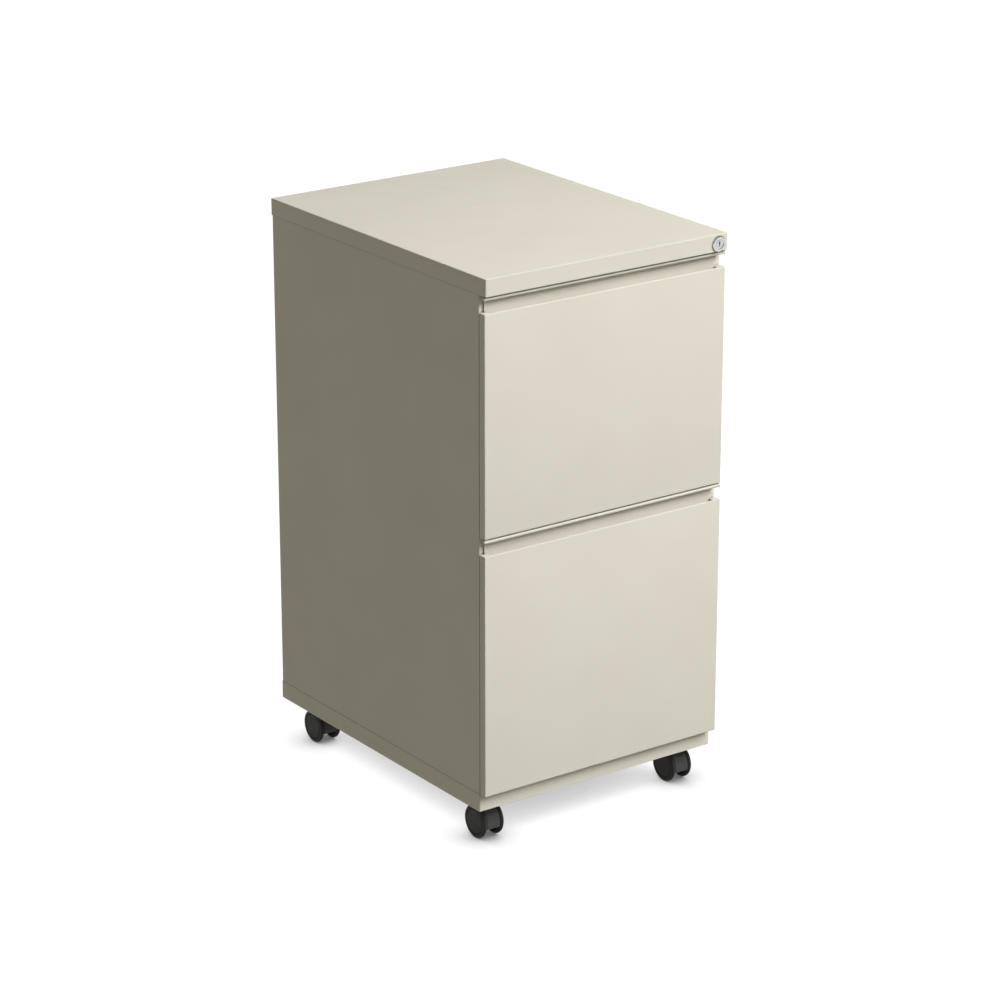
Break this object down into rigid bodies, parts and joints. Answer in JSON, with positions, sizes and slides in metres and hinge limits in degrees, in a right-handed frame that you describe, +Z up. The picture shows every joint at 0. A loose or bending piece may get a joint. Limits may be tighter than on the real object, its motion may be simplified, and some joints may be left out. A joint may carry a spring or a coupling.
{
  "type": "mobile file pedestal",
  "caption": "Low steel filing cabinet on hooded twin-wheel casters, with full-width recessed pulls over its file drawers and a round key lock in the top's front edge.",
  "frame": {"origin": "on the floor under the middle of the cabinet", "axes": "+X to the right as seen from the front, +Y to the back, +Z up; the drawers open towards -Y"},
  "size_m": [0.365, 0.472, 0.738],
  "materials": {
    "putty_paint": "fine satin powder coat",
    "zinc_steel": "bright zinc plate",
    "hardware_steel": "plain plated steel",
    "weight_iron": "painted plate",
    "lock_chrome": "polished chrome",
    "caster_hood_nylon": "fine-grained black nylon",
    "caster_wheel_nylon": "black nylon"
  },
  "bodies": {
    "cabinet": {"top_cap": "putty_paint", "left_side_panel": "putty_paint", "right_side_panel": "putty_paint", "back_panel": "putty_paint", "base_pan": "putty_paint", "top_front_rail": "putty_paint", "counterweight": "weight_iron", "case_screws": "hardware_steel", "upper_left_outer_slide": "zinc_steel", "upper_right_outer_slide": "zinc_steel", "lower_left_outer_slide": "zinc_steel", "lower_right_outer_slide": "zinc_steel", "lock_housing": "lock_chrome", "lock_nut": "hardware_steel", "lock_bar_guides": "zinc_steel", "caster_gussets": "zinc_steel", "caster_stems": "hardware_steel"},
    "lock_plug_turning": {"lock_plug": "lock_chrome", "lock_cam": "hardware_steel"},
    "lock_bar_sliding": {"lock_bar": "zinc_steel"},
    "upper_drawer": {"upper_drawer_front": "putty_paint", "upper_drawer_pull": "putty_paint", "upper_drawer_inner_front": "putty_paint", "upper_drawer_box": "putty_paint", "upper_drawer_back": "putty_paint", "upper_drawer_screws": "hardware_steel", "upper_left_file_rail": "zinc_steel", "upper_left_inner_slide": "zinc_steel", "upper_right_file_rail": "zinc_steel", "upper_right_inner_slide": "zinc_steel"},
    "upper_slide_middles": {"upper_left_middle_slide": "zinc_steel", "upper_right_middle_slide": "zinc_steel"},
    "lower_drawer": {"lower_drawer_front": "putty_paint", "lower_drawer_pull": "putty_paint", "lower_drawer_inner_front": "putty_paint", "lower_drawer_box": "putty_paint", "lower_drawer_back": "putty_paint", "lower_drawer_screws": "hardware_steel", "lower_left_file_rail": "zinc_steel", "lower_left_inner_slide": "zinc_steel", "lower_right_file_rail": "zinc_steel", "lower_right_inner_slide": "zinc_steel"},
    "lower_slide_middles": {"lower_left_middle_slide": "zinc_steel", "lower_right_middle_slide": "zinc_steel"},
    "front_left_caster_swivel": {"front_left_caster_hood": "caster_hood_nylon", "front_left_caster_axle": "hardware_steel"},
    "front_left_caster_left_wheel_body": {"front_left_caster_left_wheel": "caster_wheel_nylon"},
    "front_left_caster_right_wheel_body": {"front_left_caster_right_wheel": "caster_wheel_nylon"},
    "front_right_caster_swivel": {"front_right_caster_hood": "caster_hood_nylon", "front_right_caster_axle": "hardware_steel"},
    "front_right_caster_left_wheel_body": {"front_right_caster_left_wheel": "caster_wheel_nylon"},
    "front_right_caster_right_wheel_body": {"front_right_caster_right_wheel": "caster_wheel_nylon"},
    "rear_left_caster_swivel": {"rear_left_caster_hood": "caster_hood_nylon", "rear_left_caster_axle": "hardware_steel"},
    "rear_left_caster_left_wheel_body": {"rear_left_caster_left_wheel": "caster_wheel_nylon"},
    "rear_left_caster_right_wheel_body": {"rear_left_caster_right_wheel": "caster_wheel_nylon"},
    "rear_right_caster_swivel": {"rear_right_caster_hood": "caster_hood_nylon", "rear_right_caster_axle": "hardware_steel"},
    "rear_right_caster_left_wheel_body": {"rear_right_caster_left_wheel": "caster_wheel_nylon"},
    "rear_right_caster_right_wheel_body": {"rear_right_caster_right_wheel": "caster_wheel_nylon"}
  },
  "joints": [
    {"name": "upper_drawer_travel", "type": "slide", "parent": "cabinet", "child": "upper_drawer", "axis": [0, -1, 0], "range_m": [0, 0.38]},
    {"name": "upper_slide_travel", "type": "slide", "parent": "cabinet", "child": "upper_slide_middles", "axis": [0, -1, 0], "range_m": [0, 0.19]},
    {"name": "lower_drawer_travel", "type": "slide", "parent": "cabinet", "child": "lower_drawer", "axis": [0, -1, 0], "range_m": [0, 0.38]},
    {"name": "lower_slide_travel", "type": "slide", "parent": "cabinet", "child": "lower_slide_middles", "axis": [0, -1, 0], "range_m": [0, 0.19]},
    {"name": "lock_turn", "type": "hinge", "parent": "cabinet", "child": "lock_plug_turning", "pos_m": [0.1683, -0.22, 0.726], "axis": [0, 1, 0], "range_deg": [0, 90]},
    {"name": "lock_bar_drop", "type": "slide", "parent": "cabinet", "child": "lock_bar_sliding", "axis": [0, 0, -1], "range_m": [0, 0.0099]},
    {"name": "front_left_caster_swivel_turn", "type": "hinge", "parent": "cabinet", "child": "front_left_caster_swivel", "pos_m": [-0.1497, -0.191, 0.04], "axis": [0, 0, 1], "continuous": true},
    {"name": "front_left_left_wheel_spin", "type": "hinge", "parent": "front_left_caster_swivel", "child": "front_left_caster_left_wheel_body", "pos_m": [-0.1497, -0.184, 0.022], "axis": [1, 0, 0], "continuous": true},
    {"name": "front_left_right_wheel_spin", "type": "hinge", "parent": "front_left_caster_swivel", "child": "front_left_caster_right_wheel_body", "pos_m": [-0.1497, -0.184, 0.022], "axis": [1, 0, 0], "continuous": true},
    {"name": "front_right_caster_swivel_turn", "type": "hinge", "parent": "cabinet", "child": "front_right_caster_swivel", "pos_m": [0.1497, -0.191, 0.04], "axis": [0, 0, 1], "continuous": true},
    {"name": "front_right_left_wheel_spin", "type": "hinge", "parent": "front_right_caster_swivel", "child": "front_right_caster_left_wheel_body", "pos_m": [0.1497, -0.184, 0.022], "axis": [1, 0, 0], "continuous": true},
    {"name": "front_right_right_wheel_spin", "type": "hinge", "parent": "front_right_caster_swivel", "child": "front_right_caster_right_wheel_body", "pos_m": [0.1497, -0.184, 0.022], "axis": [1, 0, 0], "continuous": true},
    {"name": "rear_left_caster_swivel_turn", "type": "hinge", "parent": "cabinet", "child": "rear_left_caster_swivel", "pos_m": [-0.1497, 0.181, 0.04], "axis": [0, 0, 1], "continuous": true},
    {"name": "rear_left_left_wheel_spin", "type": "hinge", "parent": "rear_left_caster_swivel", "child": "rear_left_caster_left_wheel_body", "pos_m": [-0.1497, 0.188, 0.022], "axis": [1, 0, 0], "continuous": true},
    {"name": "rear_left_right_wheel_spin", "type": "hinge", "parent": "rear_left_caster_swivel", "child": "rear_left_caster_right_wheel_body", "pos_m": [-0.1497, 0.188, 0.022], "axis": [1, 0, 0], "continuous": true},
    {"name": "rear_right_caster_swivel_turn", "type": "hinge", "parent": "cabinet", "child": "rear_right_caster_swivel", "pos_m": [0.1497, 0.181, 0.04], "axis": [0, 0, 1], "continuous": true},
    {"name": "rear_right_left_wheel_spin", "type": "hinge", "parent": "rear_right_caster_swivel", "child": "rear_right_caster_left_wheel_body", "pos_m": [0.1497, 0.188, 0.022], "axis": [1, 0, 0], "continuous": true},
    {"name": "rear_right_right_wheel_spin", "type": "hinge", "parent": "rear_right_caster_swivel", "child": "rear_right_caster_right_wheel_body", "pos_m": [0.1497, 0.188, 0.022], "axis": [1, 0, 0], "continuous": true}
  ],
  "couplings": [
    {"joint": "upper_slide_travel", "follows": "upper_drawer_travel", "ratio": 0.5},
    {"joint": "lower_slide_travel", "follows": "lower_drawer_travel", "ratio": 0.5},
    {"joint": "lock_turn", "follows": "lock_bar_drop", "rad_per_m": 158.67}
  ]
}
